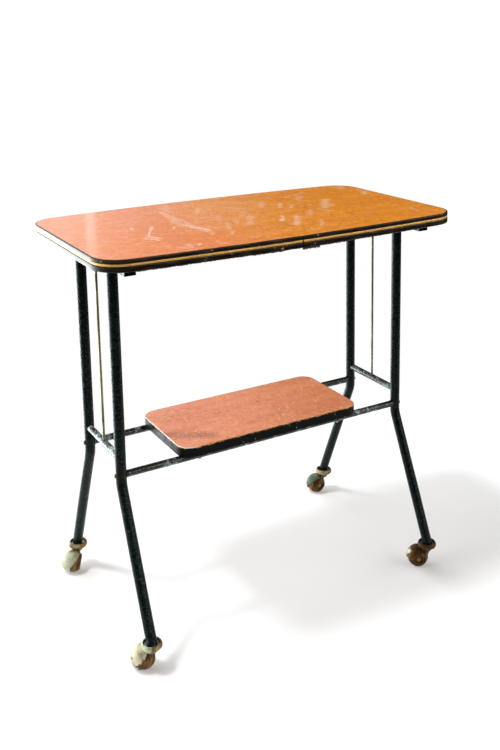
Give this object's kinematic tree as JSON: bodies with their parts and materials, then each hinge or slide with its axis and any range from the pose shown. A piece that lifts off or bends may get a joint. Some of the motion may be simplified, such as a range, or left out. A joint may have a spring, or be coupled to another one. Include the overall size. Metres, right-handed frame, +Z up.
{
  "type": "rolling side table",
  "caption": "Small rolling side table with a wood-look laminate top, a lower shelf on rails, splayed tube legs and swivelling ball castors.",
  "frame": {"origin": "on the floor, under the middle of the table", "axes": "+Z up, +X along the length of the top, +Y across it"},
  "size_m": [0.711, 0.4186, 0.72],
  "materials": {
    "core_board": "raw board",
    "top_laminate": "worn satin wood-look laminate",
    "shelf_laminate": "satin wood-look laminate",
    "dark_edging": "satin dark plastic",
    "stripe_metal": "dull gold foil",
    "black_paint": "hammered black paint",
    "brass": "tarnished brass",
    "bare_steel": "plain",
    "castor_brass": "worn plated casting",
    "wheel_brown": "brown moulded wheel",
    "tyre": "hard rubber"
  },
  "bodies": {
    "frame": {"top_board": "core_board", "top_laminate": "top_laminate", "edge_moulding": "dark_edging", "edge_stripe": "stripe_metal", "leg_left_front": "black_paint", "leg_left_rear": "black_paint", "leg_right_front": "black_paint", "leg_right_rear": "black_paint", "top_bar_left": "black_paint", "top_bar_right": "black_paint", "cross_rail_left": "black_paint", "cross_rail_right": "black_paint", "brass_rod_left": "brass", "brass_rod_right": "brass", "rail_front": "black_paint", "rail_rear": "black_paint", "rail_screws": "brass", "rail_nuts": "bare_steel", "top_screws": "bare_steel", "shelf_board": "core_board", "shelf_laminate": "shelf_laminate", "shelf_edge_band": "dark_edging", "shelf_screws": "bare_steel", "socket_left_front": "bare_steel", "socket_left_rear": "bare_steel", "socket_right_front": "bare_steel", "socket_right_rear": "bare_steel"},
    "castor_left_front": {"hood_left_front": "castor_brass", "stem_left_front": "bare_steel", "washer_left_front": "brass", "axle_left_front": "brass"},
    "wheel_left_front": {"wheel_left_front": "wheel_brown", "tyre_left_front": "tyre"},
    "castor_left_rear": {"hood_left_rear": "castor_brass", "stem_left_rear": "bare_steel", "washer_left_rear": "brass", "axle_left_rear": "brass"},
    "wheel_left_rear": {"wheel_left_rear": "wheel_brown", "tyre_left_rear": "tyre"},
    "castor_right_front": {"hood_right_front": "castor_brass", "stem_right_front": "bare_steel", "washer_right_front": "brass", "axle_right_front": "brass"},
    "wheel_right_front": {"wheel_right_front": "wheel_brown", "tyre_right_front": "tyre"},
    "castor_right_rear": {"hood_right_rear": "castor_brass", "stem_right_rear": "bare_steel", "washer_right_rear": "brass", "axle_right_rear": "brass"},
    "wheel_right_rear": {"wheel_right_rear": "wheel_brown", "tyre_right_rear": "tyre"}
  },
  "joints": [
    {"name": "swivel_left_front", "type": "hinge", "parent": "frame", "child": "castor_left_front", "pos_m": [-0.2968, -0.186, 0.05], "axis": [0, 0, 1], "continuous": true},
    {"name": "roll_left_front", "type": "hinge", "parent": "castor_left_front", "child": "wheel_left_front", "pos_m": [-0.3048, -0.17, 0.0204], "axis": [0.9781, 0, -0.2079], "continuous": true},
    {"name": "swivel_left_rear", "type": "hinge", "parent": "frame", "child": "castor_left_rear", "pos_m": [-0.2968, 0.186, 0.05], "axis": [0, 0, 1], "continuous": true},
    {"name": "roll_left_rear", "type": "hinge", "parent": "castor_left_rear", "child": "wheel_left_rear", "pos_m": [-0.311, 0.17513, 0.0204], "axis": [0.8792, -0.4288, -0.2079], "continuous": true},
    {"name": "swivel_right_front", "type": "hinge", "parent": "frame", "child": "castor_right_front", "pos_m": [0.2968, -0.186, 0.05], "axis": [0, 0, 1], "continuous": true},
    {"name": "roll_right_front", "type": "hinge", "parent": "castor_right_front", "child": "wheel_right_front", "pos_m": [0.28568, -0.17199, 0.0204], "axis": [-0.4134, -0.8865, -0.2079], "continuous": true},
    {"name": "swivel_right_rear", "type": "hinge", "parent": "frame", "child": "castor_right_rear", "pos_m": [0.2968, 0.186, 0.05], "axis": [0, 0, 1], "continuous": true},
    {"name": "roll_right_rear", "type": "hinge", "parent": "castor_right_rear", "child": "wheel_right_rear", "pos_m": [0.27965, 0.1911, 0.0204], "axis": [0.1699, -0.9633, -0.2079], "continuous": true}
  ]
}
